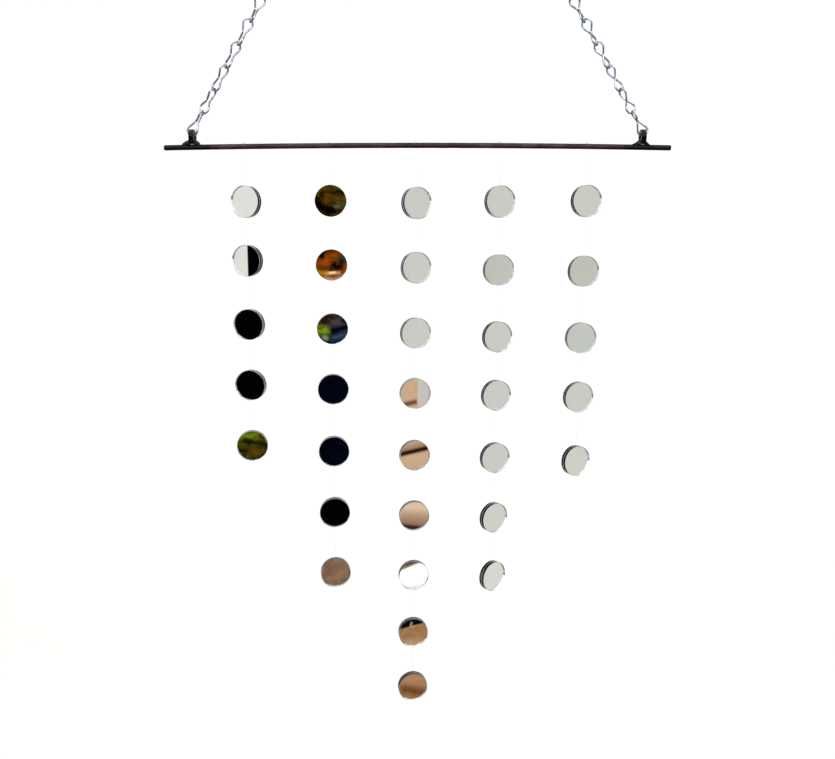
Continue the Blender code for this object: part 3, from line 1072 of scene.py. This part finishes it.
# Smaller things, all within the part of the room that outlookAt and outlookHalf give
outlook = (
    # garden beyond the doorway, the topmost mirror of the second line
    seen((4.3, 2.1), (1.5, 1.5), 0.5, (0.004, 0.003, 0.0005),
         second=(0.125, 0.058, 0.004), ragged=0.5),
    seen((4.9, 1.8), (0.5, 0.16), 0.25, (0.11, 0.10, 0.035), tilt=14,
         second=(0.02, 0.022, 0.004), ragged=0.5),
    seen((3.6, 1.6), (0.6, 0.35), 0.4, (0.002, 0.0015, 0.0005), tilt=-30, ragged=0.5),
    # its second mirror: bright leaves, a dark heart and a sunlit ledge
    seen((6.4, -1.9), (1.5, 1.4), 0.3, (0.012, 0.004, 0.001),
         second=(0.27, 0.058, 0.004), ragged=0.4),
    seen((7.05, -1.72), (0.42, 0.24), 0.4, (0.008, 0.070, 0.046), tilt=18,
         second=(0.001, 0.008, 0.004), ragged=0.3),
    seen((6.6, -2.05), (0.36, 0.20), 0.35, (0.002, 0.001, 0.0005), ragged=0.3),
    seen((6.0, -1.75), (0.26, 0.14), 0.3, (0.44, 0.065, 0.003), tilt=30, ragged=0.2),
    seen((5.7, -2.5), (0.40, 0.17), 0.3, (0.62, 0.24, 0.008), tilt=-8,
         second=(0.22, 0.06, 0.003), ragged=0.2),
    seen((6.9, -2.72), (0.60, 0.14), 0.2, (0.48, 0.14, 0.04), tilt=8,
         second=(0.20, 0.05, 0.01), ragged=0.2),
    seen((6.4, -2.52), (0.48, 0.07), 0.2, (0.80, 0.42, 0.16), tilt=3, ragged=0.1),
    seen((6.35, -2.50), (0.22, 0.06), 0.12, (1.15, 0.85, 0.55), tilt=3, ragged=0.1),
    seen((6.3, -3.02), (1.3, 0.20), 0.2, (0.86, 0.52, 0.42), tilt=-5,
         second=(0.58, 0.25, 0.16), ragged=0.2),
    # its third: a brown lintel over blue shade, with one bright leaf
    seen((12.4, -6.5), (1.5, 1.3), 0.3, (0.002, 0.005, 0.014),
         second=(0.018, 0.034, 0.060), ragged=0.3),
    seen((12.2, -5.70), (1.5, 0.46), 0.3, (0.018, 0.007, 0.005), tilt=14,
         second=(0.080, 0.048, 0.046), ragged=0.2),
    seen((12.95, -6.2), (0.65, 0.15), 0.2, (0.001, 0.0015, 0.005), tilt=14),
    seen((12.75, -6.7), (0.50, 0.09), 0.2, (0.045, 0.070, 0.090), tilt=12),
    seen((11.7, -6.3), (0.42, 0.24), 0.3, (0.22, 0.30, 0.005), tilt=-12,
         second=(0.09, 0.13, 0.002), ragged=0.3),
    seen((11.85, -6.8), (0.20, 0.12), 0.2, (0.26, 0.29, 0.11), tilt=-25),
    # its fourth and fifth: night blue
    seen((9.6, -12.4), (2.0, 3.8), 0.8, (0.0008, 0.0014, 0.004), second=(0.001, 0.0026, 0.0085)),
    # lawn in the lowest mirror of the first line
    seen((0.8, -13.8), (1.5, 1.5), 0.5, (0.012, 0.011, 0.0008),
         second=(0.085, 0.070, 0.003), ragged=0.5),
    seen((0.4, -13.2), (0.9, 0.28), 0.35, (0.19, 0.22, 0.004), tilt=-12,
         second=(0.08, 0.10, 0.003), ragged=0.4),
    seen((1.15, -14.2), (0.5, 0.28), 0.35, (0.12, 0.062, 0.006), tilt=20,
         second=(0.05, 0.026, 0.002), ragged=0.3),
    seen((1.3, -13.75), (1.1, 0.16), 0.3, (0.004, 0.008, 0.0005), tilt=-14, ragged=0.3),
    seen((1.9, -14.5), (0.6, 0.3), 0.4, (0.006, 0.004, 0.0005), tilt=24, ragged=0.4),
    # tanned floor, seen by the lower mirrors of the second and third lines
    seen((22.3, -23.5), (7.75, 14), 0.05, (0.72, 0.455, 0.29), second=(0.66, 0.40, 0.25)),
    seen((29.3, -11.45), (0.7, 0.16), 0.2, (0.20, 0.085, 0.05), tilt=14),
    seen((27.8, -14.35), (2.4, 0.28), 0.4, (0.44, 0.24, 0.14), tilt=13),
    seen((27.8, -14.56), (2.4, 0.15), 0.16, (0.026, 0.008, 0.005), tilt=13),
    seen((19.8, -18.05), (2.4, 0.5), 0.7, (0.85, 0.57, 0.41)),
    seen((19.8, -19.5), (2.4, 0.65), 1.1, (0.30, 0.155, 0.105), tilt=-4),
    seen((19.3, -19.68), (1.2, 0.36), 0.2, (0.050, 0.018, 0.014), tilt=-6),
    seen((32.2, -10.7), (2.1, 1.4), 0.3, (0.66, 0.575, 0.56)),
    seen((17.2, -22.3), (1.3, 1.7), 0.2, (0.22, 0.115, 0.068), second=(0.31, 0.17, 0.105)),
    seen((17.5, -27.8), (4.2, 3.4), 0.5, (0.46, 0.225, 0.105), second=(0.38, 0.175, 0.075)),
    seen((15.7, -27.0), (1.6, 0.35), 0.5, (0.60, 0.36, 0.215)),
    seen((15.7, -25.42), (1.4, 0.26), 0.1, (0.005, 0.003, 0.003), tilt=13),
    seen((15.55, -25.62), (0.05, 0.17), 0.12, (0.50, 0.40, 0.22), tilt=-20),
    seen((15.70, -25.74), (0.14, 0.05), 0.12, (0.48, 0.34, 0.18), tilt=10),
    seen((19.8, -29.65), (1.0, 0.28), 0.45, (0.19, 0.07, 0.024), tilt=-9),
    seen((19.5, -28.9), (1.4, 0.25), 0.5, (0.50, 0.255, 0.13)),
    # sheet of paper that fills the seventh mirror of the third line
    seen((19.3, -21.64), (0.9, 0.34), 0.1, (0.13, 0.07, 0.05), tilt=20),
    seen((19.92, -22.74), (1.25, 0.80), 0.08, (1.4, 1.4, 1.45), tilt=20),
    seen((20.0, -23.48), (1.1, 0.30), 0.3, (0.82, 0.76, 0.92), tilt=6),
)

surround = {
    "pale": (0.71, 0.645, 0.61),
    "above": (0.18, 0.18, 0.24),
    "aboveFrom": 7,
    "aboveTo": 9,
    "ceiling": (1.5, 1.55, 1.6),
    "ceilingFrom": 40,
    "ceilingTo": 48,
    "below": (0.05, 0.042, 0.04),
    "belowFrom": -33,
    "belowTo": -38,
    "rear": (0.045, 0.070, 0.105),
    "rearAt": 0.20,
    "rearFade": 0.15,
    "behind": (0.95, 0.945, 0.935),
    "behindAt": 0.80,
    "behindFade": 0.1,
    "glints": (2.3, 2.0, 1.95),
    "glintsFrom": -9,
    "glintsFade": 3,
    "diffuse": (1.0, 0.995, 0.985),
    "leafScale": 66,
    "leafDetail": 4,
    "leafTwist": 0.6,
    "leafFlatter": (1, 1, 1.7),
    "leafContrast": (0.40, 0.62),
    "wanderScale": 30,
    "wanderDetail": 3,
    "wanderSpan": (4, 3),
    "outlookAt": (14.5, -13.5),
    "outlookHalf": (17.5, 19.0),
}


# Puts one soft-edged shape over what is there
def paintThing(f, below, view, thing):
    azimuth, elevation = view["ragged"](thing["ragged"]) if "ragged" in thing else view["plain"]
    tilt = math.radians(thing.get("tilt", 0))
    across = f.math("SUBTRACT", azimuth, thing["at"][0])
    rise = f.math("SUBTRACT", elevation, thing["at"][1])
    if tilt:
        turnedAcross = f.math("MULTIPLY", across, math.cos(tilt))
        turnedRise = f.math("MULTIPLY", rise, math.cos(tilt))
        riseShare = f.math("MULTIPLY", rise, math.sin(tilt))
        acrossShare = f.math("MULTIPLY", across, math.sin(tilt))
        across = f.math("ADD", turnedAcross, riseShare)
        rise = f.math("SUBTRACT", turnedRise, acrossShare)
    cover = None
    for value, half in ((across, thing["half"][0]), (rise, thing["half"][1])):
        inside = f.math("SUBTRACT", half, f.math("ABSOLUTE", value))
        edge = f.span(inside, -thing["soft"] / 2, thing["soft"] / 2)
        cover = edge if cover is None else f.math("MULTIPLY", cover, edge)
    colour = thing["colour"]
    if "second" in thing:
        colour = f.blend(view["leaves"], colour, thing["second"])
    return f.blend(cover, below, colour)


def mixShaders(f, share, first, second):
    mix = f.add("ShaderNodeMixShader")
    f.links.new(share, mix.inputs[0])
    f.links.new(first.outputs[0], mix.inputs[1])
    f.links.new(second.outputs[0], mix.inputs[2])
    return mix


def makeSurround():
    world = bpy.data.worlds.new("surround")
    world.use_nodes = True
    bpy.context.scene.world = world
    f = Finish("surround", world.node_tree)
    background = world.node_tree.nodes["Background"]
    direction = f.add("ShaderNodeTexCoord").outputs["Generated"]
    facing = f.add("ShaderNodeSeparateXYZ")
    f.links.new(direction, facing.inputs[0])
    x, y, z = facing.outputs
    degrees = 180 / math.pi
    azimuth = f.math("MULTIPLY", f.math("ARCTAN2", x, f.math("MULTIPLY", y, -1.0)), degrees)
    elevation = f.math("MULTIPLY", f.math("ARCSINE", z), degrees)

    wander = f.add("ShaderNodeTexNoise")
    wander.inputs["Scale"].default_value = surround["wanderScale"]
    wander.inputs["Detail"].default_value = surround["wanderDetail"]
    f.links.new(direction, wander.inputs["Vector"])
    push = f.add("ShaderNodeSeparateColor")
    f.links.new(wander.outputs["Color"], push.inputs[0])
    pushes = [f.math("SUBTRACT", push.outputs[k], 0.5) for k in (0, 1)]
    wide, tall = surround["wanderSpan"]
    kept = {}

    def ragged(amount):
        if amount not in kept:
            kept[amount] = (
                f.math("ADD", azimuth, f.math("MULTIPLY", pushes[0], wide * amount)),
                f.math("ADD", elevation, f.math("MULTIPLY", pushes[1], tall * amount)),
            )
        return kept[amount]

    flat = f.add("ShaderNodeMapping")
    flat.inputs["Scale"].default_value = surround["leafFlatter"]
    f.links.new(direction, flat.inputs["Vector"])
    leaves = f.add("ShaderNodeTexNoise")
    leaves.inputs["Scale"].default_value = surround["leafScale"]
    leaves.inputs["Detail"].default_value = surround["leafDetail"]
    leaves.inputs["Distortion"].default_value = surround["leafTwist"]
    f.links.new(flat.outputs["Vector"], leaves.inputs["Vector"])
    view = {
        "plain": (azimuth, elevation),
        "ragged": ragged,
        "leaves": f.span(leaves.outputs["Fac"], *surround["leafContrast"]),
    }

    low = f.span(elevation, surround["belowFrom"], surround["belowTo"])
    colour = f.blend(low, surround["pale"], surround["below"])
    lift = f.span(elevation, surround["aboveFrom"], surround["aboveTo"])
    colour = f.blend(lift, colour, surround["above"])
    high = f.span(elevation, surround["ceilingFrom"], surround["ceilingTo"])
    colour = f.blend(high, colour, surround["ceiling"])
    for thing in walls:
        colour = paintThing(f, colour, view, thing)
    detailed = colour
    for thing in outlook:
        detailed = paintThing(f, detailed, view, thing)
    rear = f.span(y, surround["rearAt"], surround["rearAt"] + surround["rearFade"])
    behind = f.span(y, surround["behindAt"], surround["behindAt"] + surround["behindFade"])

    def withRear(front):
        return f.blend(behind, f.blend(rear, front, surround["rear"]), surround["behind"])

    # Each ray works out only the share of this that it can see
    inOutlook = None
    for value, middle, half in zip(view["plain"], surround["outlookAt"], surround["outlookHalf"]):
        within = f.math("LESS_THAN", f.math("ABSOLUTE", f.math("SUBTRACT", value, middle)), half)
        inOutlook = within if inOutlook is None else f.math("MULTIPLY", inOutlook, within)
    path = f.add("ShaderNodeLightPath")
    passed = f.math("MAXIMUM", path.outputs["Is Glossy Ray"], path.outputs["Is Transmission Ray"])
    background.inputs["Color"].default_value = (*surround["diffuse"], 1)
    plain, full, bright = (f.add("ShaderNodeBackground") for _ in range(3))
    f.links.new(withRear(colour), plain.inputs["Color"])
    f.links.new(detailed, full.inputs["Color"])
    f.links.new(withRear(surround["glints"]), bright.inputs["Color"])
    room = mixShaders(f, inOutlook, plain, full)

    # Light turned twice, by the silver and by the glass edge, comes from a window above the camera
    turns = path.outputs["Glossy Depth"]
    twice = f.math("MULTIPLY", f.math("GREATER_THAN", turns, 1.5), f.math("LESS_THAN", turns, 2.5))
    lowest = surround["glintsFrom"]
    above = f.span(elevation, lowest, lowest + surround["glintsFade"])
    room = mixShaders(f, f.math("MULTIPLY", twice, above), room, bright)
    whole = mixShaders(f, passed, background, room)
    f.links.new(whole.outputs[0], f.nodes["World Output"].inputs["Surface"])


lamps = (
    {"name": "key", "at": (1.3, -1.5, 1.2), "size": 1.1, "power": 26},
    {"name": "fill", "at": (-1.6, -1.4, 0.3), "size": 1.4, "power": 9},
)


lampAim = Vector((0, 0, -0.4))


def makeLamps():
    for lamp in lamps:
        data = bpy.data.lights.new(lamp["name"], "AREA")
        data.size = lamp["size"]
        data.energy = lamp["power"]
        light = bpy.data.objects.new(lamp["name"], data)
        light.location = lamp["at"]
        aim = lampAim - light.location
        light.rotation_euler = aim.to_track_quat("-Z", "Y").to_euler()
        light.visible_glossy = False
        light.visible_transmission = False
        bpy.context.scene.collection.objects.link(light)


setCamera()
print("camera set")
makeLines(clearNylon())
print("lines tied")
makeMirrors(clearGlass(), silvering(mirror["diameter"] / 2 - disc["silverInset"]), backingPaint())
print("mirrors glued")
makeChain(zincPlate())
print("chain linked")
makeNuts(nutSteel())
makeRod(millScaleSteel())
makeWelds(weldMetal())
print("rod and nuts welded")
makeFloor()
makeSurround()
makeLamps()
bpy.context.scene.view_settings.view_transform = "Standard"
print("studio lit")

bpy.context.view_layer.update()
